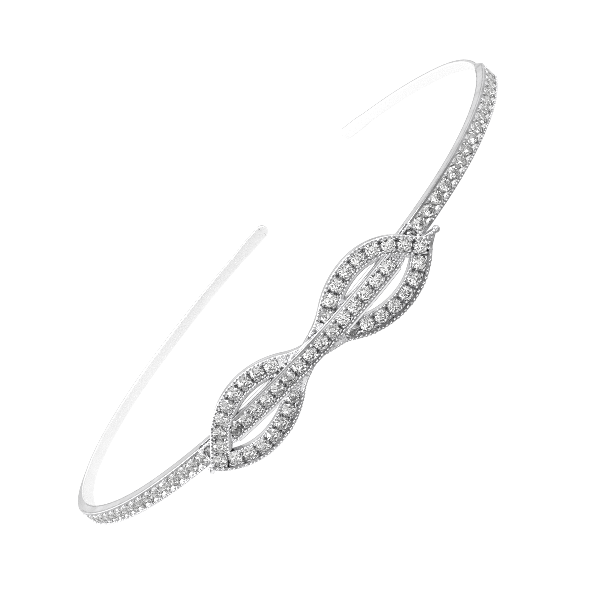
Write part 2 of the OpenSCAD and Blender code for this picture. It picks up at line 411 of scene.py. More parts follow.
def new_group(name, inputs, outputs):
    """Each socket is given with its usual value: a colour or a number"""
    group = bpy.data.node_groups.new(name, "ShaderNodeTree")
    for way, sockets in (("INPUT", inputs), ("OUTPUT", outputs)):
        for label, value in sockets.items():
            kind = "NodeSocketColor" if isinstance(value, tuple) else "NodeSocketFloat"
            socket = group.interface.new_socket(name=label, in_out=way, socket_type=kind)
            socket.default_value = value
    return group, group.nodes.new("NodeGroupInput").outputs, group.nodes.new("NodeGroupOutput")


def polish_group():
    inputs = {
        "Bright": (0.95, 0.95, 0.96, 1), "Hazy": (0.8, 0.8, 0.82, 1), "Cloud Scale": 300.0,
        "Smoothest": 0.08, "Roughest": 0.25, "Line Scale": 4000.0,
    }
    outputs = {"Color": (1, 1, 1, 1), "Roughness": 0.1, "Height": 0.5}
    group, given, result = new_group("polish", inputs, outputs)
    where = new_node(group, "ShaderNodeTexCoord").outputs["Object"]
    values = {"Vector": where, "Scale": given["Cloud Scale"], "Detail": 4, "Roughness": 0.6}
    clouds = new_node(group, "ShaderNodeTexNoise", values).outputs["Fac"]
    values = {"Value": clouds, "From Min": HAZE_FROM, "From Max": HAZE_TO}
    haze = new_node(group, "ShaderNodeMapRange", values).outputs["Result"]
    values = {"Factor": haze, "A": given["Bright"], "B": given["Hazy"]}
    tone = new_node(group, "ShaderNodeMix", values, data_type="RGBA")
    values = {"Vector": where, "Scale": WIPE_STRETCH, "Rotation": WIPE_TURN}
    wiped = new_node(group, "ShaderNodeMapping", values).outputs["Vector"]
    values = {"Vector": wiped, "Scale": given["Line Scale"], "Detail": 2}
    fill(group, result, {
        "Color": next(socket for socket in tone.outputs if socket.type == "RGBA"),
        "Roughness": blend(group, haze, given["Smoothest"], given["Roughest"]),
        "Height": new_node(group, "ShaderNodeTexNoise", values).outputs["Fac"],
    })
    return group


POLISH = polish_group()
print("polish gives", [s.name for s in POLISH.interface.items_tree if s.in_out == "OUTPUT"])

# %% [markdown]
# The metal finishes: bright silver plate, the beads that a beading wheel rolls, thin dark lines of
# painted shade along the edges, the foil behind each stone, which throws the light back, and a calmer
# foil behind the band's own rows, which look lighter. The band's inner face is satin, its walls are
# dull and painted darker as shade, and the channel, where polish never reaches, is painted dark as
# shade. Each is the same metal with other values.

# %% Metal finishes
WIPE_DEPTH, WIPE_STRENGTH = 0.00002, 0.25


def polished(name, bright, hazy, smoothest, roughest, cloud_scale):
    finish, tree, shader = new_finish(name)
    values = {"Bright": (*bright, 1), "Hazy": (*hazy, 1), "Smoothest": smoothest, "Roughest": roughest}
    values["Cloud Scale"] = cloud_scale
    polish = new_node(tree, "ShaderNodeGroup", values, node_tree=POLISH).outputs
    fill(tree, shader, {"Base Color": polish["Color"], "Roughness": polish["Roughness"]})
    return finish, tree, shader, polish


def metal_finish(name, bright, hazy, smoothest, roughest, cloud_scale=300):
    finish, tree, shader, polish = polished(name, bright, hazy, smoothest, roughest, cloud_scale)
    values = {"Strength": WIPE_STRENGTH, "Distance": WIPE_DEPTH, "Height": polish["Height"]}
    bump = new_node(tree, "ShaderNodeBump", values)
    fill(tree, shader, {"Metallic": 1, "Normal": bump.outputs["Normal"]})
    return finish


# Name, bright and hazy colour, smoothest and roughest
PLATE = metal_finish("silver_plate", (0.97, 0.97, 0.98), (0.88, 0.88, 0.89), 0.10, 0.24)
BEADS = metal_finish("beaded_silver", (0.96, 0.96, 0.97), (0.80, 0.80, 0.81), 0.06, 0.2, cloud_scale=900)
# Painted shade: thin dark lines along the rail and along the wall's edges
EDGE_SHADE = metal_finish("painted_edge_shade", (0.5, 0.5, 0.51), (0.3, 0.3, 0.3), 0.2, 0.4, cloud_scale=900)
FOIL = metal_finish("silver_foil", (0.93, 0.93, 0.94), (0.75, 0.75, 0.76), 0.08, 0.2, cloud_scale=900)
# Painted shade: the walls, the rows' rails and the arms' outsides get this darker colour, on top of a
# duller finish
SHADED_WALL = metal_finish("dull_shaded_wall", (0.66, 0.66, 0.67), (0.54, 0.54, 0.54), 0.15, 0.3)
CALM = metal_finish("calm_foil", (0.98, 0.98, 0.98), (0.9, 0.9, 0.9), 0.35, 0.5, cloud_scale=900)
SATIN = metal_finish("satin_silver", (0.94, 0.94, 0.94), (0.87, 0.87, 0.87), 0.3, 0.45, cloud_scale=60)
# Painted shade: the channel, the slits between cups and the cups' lips get this dark colour, on top of a
# rougher unpolished finish
SHADED_SEAT = metal_finish("dull_shaded_seat", (0.34, 0.34, 0.35), (0.12, 0.12, 0.12), 0.25, 0.5, cloud_scale=900)
SECTION_METALS, CUP_METALS = [PLATE, SHADED_SEAT, EDGE_SHADE, SATIN, SHADED_WALL], [PLATE, FOIL, SHADED_SEAT, CALM]
print("metals:", [metal.name for metal in SECTION_METALS + CUP_METALS])

# %% [markdown]
# The band is one strip of metal: thin and narrow where it grips the head, thicker and wider where it
# carries stones, with a channel cut along its front. It could be a curve with a bevel, but its section
# changes along its length, so half of the section is swept round its outline instead: out along the
# upper half, round the tip, and back along the lower half. The bar's lower side and the inner sides of
# the upper strands have a foot, a low step that their beads stand on.

# %% Half a section
# The back line and the rail line are the widths of the strips that carry the painted edge shade
BACK_LINE, RAIL_LINE, LEAST_RAIL, HAIR = 0.3, 0.18, 0.06, 0.02
FOOT_FULL, BEVEL, FILLET, CHAMFER = 0.2, 0.14, 0.03, 0.04


def round_corner(u, n, r, first, steps=4):
    """Points of a quarter circle whose middle is (u, n), from a first angle in degrees"""
    angles = [math.radians(first + 90 * i / steps) for i in range(steps + 1)]
    return [(u + r * math.cos(a), n + r * math.sin(a)) for a in angles]


def half_section(reach, low, high, back_r, front_r, channel, depth, bed, foot=0.0, foot_drop=0.5):
    """From the middle of the back, round the edge, to the middle of the front: (u, n) in mm"""
    channel = min(channel, reach - front_r - LEAST_RAIL)
    wide = reach + foot
    step = high - foot_drop
    soft = min(1, foot / FOOT_FULL)
    bevel, fillet = BEVEL * soft, FILLET * soft
    line = max(HAIR, min(BACK_LINE, step - bevel - low - back_r - HAIR))
    rail, floor = high - bed, high - max(depth, bed)
    return [
        (0, low), *round_corner(wide - back_r, low + back_r, back_r, -90),
        (wide, low + back_r + line), (wide, step - bevel), (wide - bevel, step),
        (reach + fillet, step), (reach, step + fillet),
        *round_corner(reach - front_r, high - front_r, front_r, 0),
        (reach - front_r - FILLET, rail), (max(channel + CHAMFER, reach - front_r - RAIL_LINE), rail),
        (channel + HAIR, rail), (channel, rail - min(CHAMFER, depth)),
        (channel - CHAMFER * min(1, depth), floor), (0, floor),
    ]


print("a corner has", len(round_corner(0, 0, 1, 0)), "points")

# %% [markdown]
# Swept sections become one mesh: each column is one half section, and neighbouring columns are joined
# by quads. Points that fall together are merged, so the two halves close along the middle. Each face
# gets its metal from its place in the section: painted dark as shade inside the channel, thin lines of
# painted shade beside the rail and along both edges of the wall, satin on the inner face of the arms
# and the rows, and dull and painted darker as shade on the walls but for the bar's. The rest is bright
# plate.

# %% Columns to mesh
BACK_FACES, BACK_EDGE, WALL_FACES, FRONT_EDGE = range(5), 5, range(6, 10), 10
# The next line starts with the first face of a row's rail that is painted dark as edge shade
ROW_SHADE_FROM, SEAT_FROM, CUT_DEPTH = 15, 19, 0.3
# The faces beside the channel that are painted dark as edge shade, for each kind of edge
RAIL_SHADE_FACES = {"bar": (16,), "loose": (16, 17), "bar_beaded": (16, 17, 18), "beaded": (16, 17, 18)}
MERGED, SLIVER = 0.000006, 0.000004


def face_metal(kind, k, cut):
    """The metal of face k, counted from the middle of the back, with or without a cut channel"""
    if k in BACK_FACES and kind in ("arm", "row"):
        return SATIN
    if kind == "arm":
        return SHADED_WALL
    if k >= SEAT_FROM:
        return SHADED_SEAT if cut else PLATE
    # The edge faces and the listed rail faces are painted dark as edge shade
    if k in (BACK_EDGE, FRONT_EDGE):
        return EDGE_SHADE
    # Walls but the bar's take the darker metal, which is painted shade
    if k in WALL_FACES:
        return PLATE if kind.startswith("bar") else SHADED_WALL
    if kind == "row":
        return EDGE_SHADE if cut and k >= ROW_SHADE_FROM else SHADED_WALL
    return EDGE_SHADE if cut and k in RAIL_SHADE_FACES[kind] else PLATE


def add_columns(skin, columns, metal_at, closed=False):
    """Joins columns to a skin of points, faces and metals; metal_at(i, k) is for face k after column i"""
    points, faces, metals = skin
    first, size, count = len(points), len(columns[0]), len(columns)
    for column in columns:
        points.extend(column)
    for i in range(count if closed else count - 1):
        a, b = first + i * size, first + (i + 1) % count * size
        for k in range(size - 1):
            faces.append((a + k, b + k, b + k + 1, a + k + 1))
            metals.append(metal_at(i, k))


def add_sections(skin, columns, kinds, closed=False):
    cut = [(column[-3] - column[-2]).length > CUT_DEPTH for column in columns]

    def metal_at(i, k):
        return face_metal(kinds[i], k, cut[i] and cut[(i + 1) % len(cut)])

    add_columns(skin, columns, metal_at, closed)


def faces_out(mesh, merge=False):
    body = bmesh.new()
    body.from_mesh(mesh)
    if merge:
        bmesh.ops.remove_doubles(body, verts=body.verts, dist=MERGED)
        bmesh.ops.dissolve_degenerate(body, edges=body.edges, dist=SLIVER)
    bmesh.ops.recalc_face_normals(body, faces=body.faces)
    body.to_mesh(mesh)
    body.free()


def metal_piece(name, skin, choice, sharp=38):
    points, faces, metals = skin
    mesh = new_mesh(name, [REST @ p for p in points], faces, choice)
    mesh.polygons.foreach_set("material_index", [choice.index(metal) for metal in metals])
    faces_out(mesh, merge=True)
    mesh.shade_smooth()
    mesh.set_sharp_from_angle(angle=math.radians(sharp))
    piece = in_scene(name, mesh)
    crisp = piece.modifiers.new("even_faces", "WEIGHTED_NORMAL")
    crisp.keep_sharp = True
    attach(piece, "root")
    return piece


print("the channel starts at face", SEAT_FROM)

# %% [markdown]
# The band's width, thickness and channel change along it: rounded tips, plain arms, smooth tapers at
# the sides, then the stretch with stones, and a dip under each end of the motif, where the strands lie.
# They could be blended by shape keys, but plain functions of the distance say it in numbers.

# %% The band's section along its length
PITCH, STONE_D, SEAT_DEPTH, BED = 3.07, 2.76, 1.6, 0.08
SET_W, SET_T, ARM_W, ARM_T, TIP_W = 2.05, 2.4, 1.4, 1.1, 1.6
CHANNEL = STONE_D / 2 + 0.08
COUNT = {LEFT: 17, RIGHT: 16}
TAPER = {LEFT: 23.4, RIGHT: 6.5}
TIP_FROM, TIP_TO = 5, 9
SIDE_START, BAR_HALF = 31.7, 7
BAR_END, SIDE_EDGE = BAR_HALF * PITCH + CHANNEL, SIDE_START - CHANNEL
ROW_END = {side: SIDE_START + (COUNT[side] - 1) * PITCH + CHANNEL for side in COUNT}
ROW_MARGIN = 1
DIP, DIP_SPAN = 1.05, (23.0, 23.6, 29.9, 30.1)
BAR_FOOT, BAR_FOOT_DROP, BAR_FOOT_SPAN = 0.6, 0.55, (7, 9, 24, 26)
EDGE_R, BACK_R_MORE = 0.16, 0.05
STATIONS, TAPER_STATIONS, HAIRBREADTH = 520, 16, 0.004


def ease(a, b, x):
    t = min(1, max(0, (x - a) / (b - a)))
    return t * t * (3 - 2 * t)


def softened(a, b, x):
    """Nearly straight from 0 at a to 1 at b, with a soft start and end"""
    t = min(1, max(0, (x - a) / (b - a)))
    return 0.6 * t + 0.4 * t * t * (3 - 2 * t)


def within(span, x):
    """1 between the two middle places of a span, and softly down to 0 at its ends"""
    return ease(span[0], span[1], x) * (1 - ease(span[2], span[3], x))


def side_of(s):
    return RIGHT if s > MOTIF_S else LEFT


def band_section(s, lower=False):
    side, d = side_of(s), abs(s - MOTIF_S)
    end = ROW_END[side] + ROW_MARGIN
    thin = softened(end, end + TAPER[side], d)
    width = SET_W + (ARM_W - SET_W) * thin
    thick = SET_T + (ARM_T - SET_T) * thin - DIP * within(DIP_SPAN, d)
    width += (TIP_W - ARM_W) * (1 - ease(TIP_FROM, TIP_TO, min(s - LEFT_END, RIGHT_END - s)))
    cut = d < BAR_END or SIDE_EDGE < d < ROW_END[side]
    edge = EDGE_R + EDGE_R * thin
    depth, bed = (SEAT_DEPTH if cut else 0), (BED if cut and lower else 0)
    foot = BAR_FOOT * within(BAR_FOOT_SPAN, d) if lower else 0
    return half_section(width, 0, thick, edge + BACK_R_MORE, edge, CHANNEL, depth, bed, foot, BAR_FOOT_DROP)


def band_stops():
    """Even stations, with a pair close together at each sudden change"""
    stops = [LEFT_END + (RIGHT_END - LEFT_END) * i / STATIONS for i in range(STATIONS + 1)]
    for side in (LEFT, RIGHT):
        for d in (BAR_END, SIDE_EDGE, ROW_END[side], *DIP_SPAN):
            stops += [MOTIF_S + side * d - HAIRBREADTH, MOTIF_S + side * d + HAIRBREADTH]
        for i in range(TAPER_STATIONS + 1):
            stops.append(MOTIF_S + side * (ROW_END[side] + ROW_MARGIN + TAPER[side] * i / TAPER_STATIONS))
    return sorted(set(stops))


stops = band_stops()
print(len(stops), "stations along the band")

# %% Sweep the band
TIP_FAN = 16
BAR_REACH, ARM_MARGIN = BAR_FOOT_SPAN[3], 0.9


def kind_at(s, lower=False):
    d = abs(s - MOTIF_S)
    if d > ROW_END[side_of(s)] + ARM_MARGIN:
        return "arm"
    if d < BAR_REACH:
        return "bar_beaded" if lower else "bar"
    return "row"


def tip_fan(end, way):
    """The half section turned round a tip, from the upper half to the lower one or back"""
    section = band_section(end)
    fan = []
    for i in range(1, TIP_FAN):
        a = math.radians(90 - 180 * i / TIP_FAN) * way
        fan.append([band_point(end + u * math.cos(a) * way, u * math.sin(a) * way, n) for u, n in section])
    return fan


def make_band():
    columns = [[band_point(s, u, n) for u, n in band_section(s)] for s in stops]
    columns += tip_fan(RIGHT_END, 1)
    columns += [[band_point(s, -u, n) for u, n in band_section(s, lower=True)] for s in reversed(stops)]
    columns += tip_fan(LEFT_END, -1)
    fan_kinds = ["arm"] * (TIP_FAN - 1)
    kinds = [kind_at(s) for s in stops] + fan_kinds
    kinds += [kind_at(s, lower=True) for s in reversed(stops)] + fan_kinds
    skin = [], [], []
    add_sections(skin, columns, kinds, closed=True)
    band = metal_piece("band_metal", skin, SECTION_METALS)
    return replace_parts(band, "frame")


band = make_band()
print("band has", len(band.data.polygons), "faces")

# %% [markdown]
# Each strand of the motif has the same kind of section. Its start is sunk a little, where it passes
# under the bar. Where two strands meet, their inner sides are mitred like the corner of a picture
# frame: every line of the sweep stops at the line that is as far from one strand as from the other.
# A boolean would join them too, but it leaves thin slivers along the seam.

# %% The strands' section
STRAND_T, SUNK, SUNK_FROM, SUNK_TO = 1.7, 0.4, 2.5, 4.5
OUT, INNER, FOOT, FOOT_DROP = {UPPER: 1.85, LOWER: 2.2}, 1.9, {UPPER: 0.5, LOWER: 0}, 0.3
STRAND_BACK_R, STRAND_FRONT_R = 0.22, 0.16
# The place of the first free stone, the stones before the shared one, and those that the bar covers
ROWS = {
    (LEFT, UPPER): (7.9, 8, 0), (LEFT, LOWER): (9.7, 7, 0),
    (RIGHT, UPPER): (11, 7, 1), (RIGHT, LOWER): (12.3, 6, 1),
}
FIRST, BEFORE, COVERED = ({strand: row[i] for strand, row in ROWS.items()} for i in range(3))
GAP = {strand: (WHOLE[strand] - FIRST[strand]) / BEFORE[strand] for strand in STRANDS}
ROW_FROM = {strand: FIRST[strand] - COVERED[strand] * GAP[strand] for strand in STRANDS}


def sunk_at(s):
    return SUNK * (1 - ease(SUNK_FROM, SUNK_TO, s))


def strand_profile(reach, high, cut, *foot):
    depth, bed = (SEAT_DEPTH, BED) if cut else (0, 0)
    return half_section(reach, -STRAND_T, high, STRAND_BACK_R, STRAND_FRONT_R, CHANNEL, depth, bed, *foot)


def strand_section(side, level, s, outer):
    cut = s > ROW_FROM[side, level] - CHANNEL
    if outer:
        return strand_profile(OUT[level], -sunk_at(s), cut)
    return strand_profile(INNER, -sunk_at(s), cut, FOOT[level], FOOT_DROP)


print("covered stones:", sum(COVERED.values()))

# %% Mitres
COARSE, FINER = 0.5, (0.25, 0.12, 0.06, 0.03, 0.015, 0.007, 0.003)
OUTER_SEARCH, INNER_SEARCH, HALVINGS = 4, 16, 24


def offset_from(side, level, x, z):
    """How far a point lies from the middle of a strand, positive to its outer side"""
    def away(s):
        return math.dist((x, z), strand_at(side, level, s)[:2])

    s = min((i * COARSE for i in range(int(WHOLE[side, level] / COARSE) + 2)), key=away)
    for step in FINER:
        s = min((s - step, s, s + step), key=away)
    px, pz, turn = strand_at(side, level, s)
    return level * ((z - pz) * math.cos(turn) - (x - px) * math.sin(turn))


def in_crossing(side, level, s, u):
    """An outer line starts at the motif's middle, an inner one where the other strand is as near"""
    x, z = beside(side, level, s, u)
    return x < 0 if u >= 0 else offset_from(side, -level, x, z) > u


def crossing_mitre(side, level, u):
    """Where the line u of a strand leaves the crossing"""
    low, high = 0, OUTER_SEARCH if u >= 0 else INNER_SEARCH
    for _ in range(HALVINGS):
        middle = (low + high) / 2
        if in_crossing(side, level, middle, u):
            low = middle
        else:
            high = middle
    return high


END_SLOPE = {strand: abs(strand_at(*strand, WHOLE[strand])[2]) for strand in STRANDS}


def fork_mitre(side, level, u):
    half = (END_SLOPE[side, UPPER] + END_SLOPE[side, LOWER]) / 2
    return WHOLE[side, level] - (abs(u) / math.tan(half) if u < 0 else 0)


print("slots open", [round(crossing_mitre(side, UPPER, -INNER), 2) for side in (LEFT, RIGHT)], "mm out")

# %% [markdown]
# At its end each side of the motif closes round the shared stone in a small point. The half section is
# turned about that stone, and its outer edge follows the straight edges that meet in the point, but
# never comes nearer to the stone than its rim. A cone could be added there, but it would show a seam.

# %% Strand columns and the point
TIP = {LEFT: 2.5, RIGHT: 4.2}
BEAD_END, RIM, BLUNT = 0.8, CHANNEL + 0.35, 0.3
STRAND_STATIONS, POINT_STEPS = 72, 10


def strand_columns(side, level, outer):
    sign, whole = (1 if outer else -1), WHOLE[side, level]
    start = ROW_FROM[side, level] - CHANNEL
    stations = [whole * i / STRAND_STATIONS for i in range(STRAND_STATIONS + 1)]
    stations += [start - HAIRBREADTH, start + HAIRBREADTH]
    lines = [sign * u for u, n in strand_section(side, level, whole, outer)]
    begin = [crossing_mitre(side, level, u) for u in lines]
    stop = [fork_mitre(side, level, u) for u in lines]
    columns = []
    for s in sorted(stations):
        column = []
        for k, (u, n) in enumerate(strand_section(side, level, s, outer)):
            at = min(max(s, begin[k]), stop[k])
            if at != s:
                u, n = strand_section(side, level, at, outer)[k]
            x, z = beside(side, level, at, sign * u)
            column.append(face_point(side, x, z, n))
        columns.append(column)
    return columns


def corner_of(side, level):
    return Vector(beside(side, level, WHOLE[side, level], OUT[level]))


POINT = {side: SHARED[side] + Vector((TIP[side] + BEAD_END / 2, 0)) for side in (RIGHT, LEFT)}
print("points at", [[round(v, 2) for v in POINT[side]] for side in POINT])


def point_columns(side):
    """Round the shared stone from the upper strand's outer edge to the lower one's"""
    middle = SHARED[side]
    corners = [corner_of(side, UPPER), POINT[side], corner_of(side, LOWER)]
    edge = []
    for a, b in zip(corners, corners[1:]):
        edge += [a.lerp(b, i / POINT_STEPS) for i in range(POINT_STEPS)]
    edge.append(corners[-1])
    columns = []
    for p in edge:
        away = p - middle
        reach = max(away.length, RIM) - (BLUNT if p == POINT[side] else 0)
        ray = away.normalized()
        section = strand_profile(reach, 0, True)
        columns.append([
            face_point(side, middle.x + ray.x * u, middle.y + ray.y * u, n) for u, n in section
        ])
    return columns


def make_motif(side):
    skin = [], [], []
    upper, lower = strand_columns(side, UPPER, True), strand_columns(side, LOWER, True)
    rest = point_columns(side) + lower[::-1]
    add_sections(skin, upper + rest, ["beaded"] * len(upper) + ["loose"] * len(rest))
    for level in (UPPER, LOWER):
        inner = strand_columns(side, level, False)
        add_sections(skin, inner, ["beaded"] * len(inner))
    loop = metal_piece(f"loop_{SIDE_NAME[side]}_metal", skin, SECTION_METALS)
    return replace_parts(loop, "frame")


for side in (RIGHT, LEFT):
    loop = make_motif(side)
    print(loop.name, "has", len(loop.data.polygons), "faces")

# %% [markdown]
# The stones are round brilliants, the cut of nearly all small crystals: a flat table, eight kites and
# eight stars round it, sixteen small facets down to the girdle, and below it sixteen more and eight
# long mains to the point. The angles are the cutter's: about 36 degrees above and 41 below, so that
# light comes back out of the front. Shading stays flat, because every facet is a mirror of its own.

# %% Brilliant cut
CROWN, PAVILION = 0.44, 1.19
TABLE_SHARE, STAR_SHARE, MAIN_SHARE, GIRDLE_SHARE = 0.56, 0.77, 0.24, 0.035


def ring(radius, height, count, half=False):
    angles = [(i + 0.5 * half) * (math.tau / count) for i in range(count)]
    return [Vector((radius * math.cos(a), radius * math.sin(a), height)) for a in angles]


def brilliant(d, crown, pavilion):
    """Points and faces with the girdle's top edge at height 0 and the table facing up"""
    r = d / 2
    table_r, star_r, main_r, girdle = TABLE_SHARE * r, STAR_SHARE * r, MAIN_SHARE * r, GIRDLE_SHARE * d
    cos = math.cos(math.radians(22.5))
    star_h = crown * (r - star_r * cos) / (r - table_r)
    main_h = -girdle - pavilion * (1 - main_r * cos / r)
    points = ring(table_r, crown, 8) + ring(star_r, star_h, 8, True) + ring(r, 0, 16) + ring(r, -girdle, 16)
    points += ring(main_r, main_h, 8, True) + [Vector((0, 0, -girdle - pavilion))]
    # The first point of the table, stars, girdle's top and bottom, mains, and the culet
    T, S, G, B, M, C = 0, 8, 16, 32, 48, 56
    faces = [tuple(T + i for i in range(8))]
    for i in range(8):
        j, h, e, o, n = (i + 1) % 8, (i - 1) % 8, 2 * i, 2 * i + 1, (2 * i + 2) % 16
        faces += [(T + i, S + i, T + j), (T + i, S + h, G + e, S + i)]
        faces += [(S + i, G + e, G + o), (S + i, G + o, G + n)]
        faces += [(G + e, B + e, B + o, G + o), (G + o, B + o, B + n, G + n)]
        faces += [(B + e, M + i, B + o), (B + o, M + i, B + n), (B + e, M + h, C, M + i)]
    return points, faces


CUT = brilliant(STONE_D, CROWN, PAVILION)
print("a stone has", len(CUT[1]), "facets")

# %% [markdown]
# Crystal is clear glass with much lead in it: it bends light more than window glass, and small stones
# have a faint grey tint in places. The tint and the haze come from the polish group; the transmission
# and the index are plain numbers on the shader. A glass shader would look the same, but the export reads
# only the Principled one. Light passes many facets before it comes out, so it may bounce more often.

# %% Crystal
CRYSTAL_INDEX, BOUNCES, MIRRORINGS = 2.0, 16, 6


def crystal_finish():
    finish, tree, shader, _ = polished("clear_crystal", (1, 1, 1), (0.93, 0.93, 0.92), 0.0, 0.02, 150)
    fill(tree, shader, {"Metallic": 0, "Transmission Weight": 1, "IOR": CRYSTAL_INDEX})
    return finish


CRYSTAL = crystal_finish()
light_paths = bpy.context.scene.cycles
light_paths.max_bounces, light_paths.transmission_bounces = BOUNCES, BOUNCES
light_paths.glossy_bounces = MIRRORINGS
light_paths.use_denoising = False
light_paths.pixel_filter_type = "BLACKMAN_HARRIS"
light_paths.filter_width = 0.9
print("crystal bends light by", CRYSTAL_INDEX)

# %% [markdown]
# Real setters drop each stone in by hand, so no two point the same way. Each one is spun freely and
# tipped by up to two degrees, from a seeded random generator, so that every run gives the same part.
# Instances of one stone would do, but a row that is one mesh rides as one piece.

# %% Set the stones
TIPPED = 2
dice = random.Random(7)


def tipped(axis):
    return Matrix.Rotation(math.radians(dice.uniform(-TIPPED, TIPPED)), 4, axis)


def stone_matrix(girdle, along_row, outward):
    across = outward.cross(along_row).normalized()
    turn = Matrix((along_row, across, outward)).transposed().to_4x4()
    spin = Matrix.Rotation(dice.uniform(0, math.tau), 4, "Z")
    return Matrix.Translation(girdle) @ turn @ (tipped("X") @ tipped("Y")) @ spin


def copies(shape, moves):
    """One shape at many places: a move takes a point of it to its place"""
    points, faces = [], []
    for move in moves:
        first = len(points)
        points += [move(p) for p in shape[0]]
        faces += [tuple(first + i for i in face) for face in shape[1]]
    return points, faces


def set_stones(name, node, seats):
    places = [REST @ stone_matrix(*seat) for seat in seats]
    mesh = new_mesh(name, *copies(CUT, [lambda p, m=m: m @ p for m in places]), [CRYSTAL])
    faces_out(mesh)
    piece = in_scene(name, mesh)
    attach(piece, "root")
    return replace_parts(piece, node)


print("stones are tipped by up to", TIPPED, "degrees")

# %% [markdown]
# Each row of stones follows its own strip of metal. The band's two rows start with a stone that is
# partly covered by the motif's end, and so do the right strands beside the bar. The upper strand's row
# runs on to the shared stone. A path with instances on it could place them, but here s is all it takes.

# %% Where each stone sits
GIRDLE, NEARBY = 0.3, 0.1


def band_seat(s):
    along_row, outward = band_frame(s)
    return band_point(s, 0, SET_T - GIRDLE), along_row, outward


def strand_seat(side, level, s):
    x, z, turn = strand_at(side, level, s)
    outward = face_out(side, x)
    next_x, next_z, turn = strand_at(side, level, s + NEARBY)
    along_row = face_point(side, next_x, next_z, 0) - face_point(side, x, z, 0)
    along_row = (along_row - outward * along_row.dot(outward)).normalized()
    return face_point(side, x, z, -GIRDLE), along_row, outward


def strand_stops(side, level):
    last = BEFORE[side, level] + (1 if level == UPPER else 0)
    return [FIRST[side, level] + i * GAP[side, level] for i in range(-COVERED[side, level], last)]


def band_row(side):
    return [MOTIF_S + side * (SIDE_START + i * PITCH) for i in range(-1, COUNT[side])]


BAND_ROW = {side: band_row(side) for side in COUNT}
BAR_ROW = [MOTIF_S + i * PITCH for i in range(-BAR_HALF, BAR_HALF + 1)]
for side in (LEFT, RIGHT):
    seats = [band_seat(s) for s in BAND_ROW[side]]
    set_stones(f"band_crystals_{SIDE_NAME[side]}", f"band_stones_{SIDE_NAME[side]}", seats)
set_stones("bar_crystals", "bar_stones", [band_seat(s) for s in BAR_ROW])
for side, level in STRANDS:
    row = f"loop_{SIDE_NAME[side]}_{LEVEL_NAME[level]}"
    seats = [strand_seat(side, level, s) for s in strand_stops(side, level)]
    set_stones(f"{row}_crystals", f"{row}_stones", seats)
print("stones in the loops:", sum(len(strand_stops(side, level)) for side, level in STRANDS))

# %% [markdown]
# A stone doesn't lie loose in its channel: the setter drills a round cup for it, and the metal left
# between two cups stands up towards the edges and falls away to a slit in the middle, which is painted
# dark as shade, as is the lip of each cup. Each cup is a ring of quads from the outline of its own
# stretch of channel to a circle, and on down to a cone. Boolean cylinders would do too, but they are
# slow and leave ragged faces.

# %% Cups for the stones
CUP_R, CUP_WALL, CUP_TURNS, CUP_SHARP = STONE_D / 2 + 0.04, CHANNEL - 0.01, 48, 50
WEB_TOP, WEB_DROP, WEB_FROM, WEB_TO, WEB_MIDDLE = -0.2, 0.8, 0.45, 1.0, 0.45
LIP_IN, LIP_DOWN = 0.12, 0.22
CONE = ((0.75, -1.1), (0.15, -1.62))
# The metals of a cup from its outline inward: outer web, inner web, lip, and two rings of the cone;
# in the bright cups the outer web and the lip, in the calm ones the lip, are painted dark as shade
BRIGHT_CUP, CALM_CUP = (SHADED_SEAT, PLATE, SHADED_SEAT, FOIL, FOIL), (CALM, CALM, SHADED_SEAT, CALM, CALM)


def web_height(u):
    return WEB_TOP - WEB_DROP * (1 - ease(WEB_FROM, WEB_TO, abs(u)))


def cup_columns(point, span):
    """point(a, u, n) is a place a along the row, u across it and n over the metal's face"""
    columns = []
    for i in range(CUP_TURNS + 1):
        a = math.tau * i / CUP_TURNS
        c, s = math.cos(a), math.sin(a)
        k = min(span / max(abs(c), 1e-6), CUP_WALL / max(abs(s), 1e-6))
        edge = point(c * k, s * k, web_height(s * k))
        high = web_height(s * CUP_R)
        rim = point(c * CUP_R, s * CUP_R, high)
        lip = point(c * (CUP_R - LIP_IN), s * (CUP_R - LIP_IN), high - LIP_DOWN)
        cone = [point(c * r, s * r, n) for r, n in CONE]
        columns.append([edge, edge.lerp(rim, WEB_MIDDLE), rim, lip, *cone])
    return columns


def cups_piece(name, rows, metals):
    skin = [], [], []
    for point, span in rows:
        add_columns(skin, cup_columns(point, span), lambda i, k: metals[k])
    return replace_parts(metal_piece(name, skin, CUP_METALS, CUP_SHARP), "frame")


def band_cups(row):
    return [(lambda a, u, n, s=s: band_point(s + a, u, SET_T + n), PITCH / 2) for s in row]


def strand_cup(side, level, s):
    return lambda a, u, n: face_point(side, *beside(side, level, s + a, u), n), GAP[side, level] / 2


def strand_cups(side):
    return [strand_cup(side, level, s) for level in (UPPER, LOWER) for s in strand_stops(side, level)]


cups_piece("band_cups", band_cups(BAND_ROW[LEFT] + BAND_ROW[RIGHT]), CALM_CUP)
cups_piece("bar_cups", band_cups(BAR_ROW), BRIGHT_CUP)
for side in (RIGHT, LEFT):
    cups_piece(f"loop_{SIDE_NAME[side]}_cups", strand_cups(side), BRIGHT_CUP)
print("cups cut")

# %% [markdown]
# A beading wheel rolls a row of tiny beads along each edge, and at every gap between two stones a
# bigger bead is pushed over both girdles to hold them. Each bead could be an instance of one sphere,
# but they are stamped into the same metal, so they are joined into one mesh for each part.

# %% One bead, many times
def bead_shape(subdivisions):
    ball = bmesh.new()
    bmesh.ops.create_icosphere(ball, subdivisions=subdivisions, radius=1)
    points = [v.co.copy() for v in ball.verts]
    faces = [tuple(v.index for v in f.verts) for f in ball.faces]
    ball.free()
    return points, faces


BEAD = bead_shape(2)


def bead_move(middle, r):
    """A bead never reaches below the floor"""
    at = REST @ middle
    at.z = max(at.z, r * MM)
    return lambda p: at + p * (r * MM)


def bead_piece(name, beads):
    mesh = new_mesh(name, *copies(BEAD, [bead_move(*bead) for bead in beads]), [BEADS])
    mesh.shade_smooth()
    piece = in_scene(name, mesh)
    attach(piece, "root")
    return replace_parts(piece, "frame")


print("a bead has", len(BEAD[1]), "faces")

# %% [markdown]
# The band's lower rail has the full row of beads, and its upper rail is plain but for the prongs. None
# is set where a strand lies over the band. The bare metal between two strands at each end of the motif
# is paved with beads, which is how a setter fills a place too small for a stone.

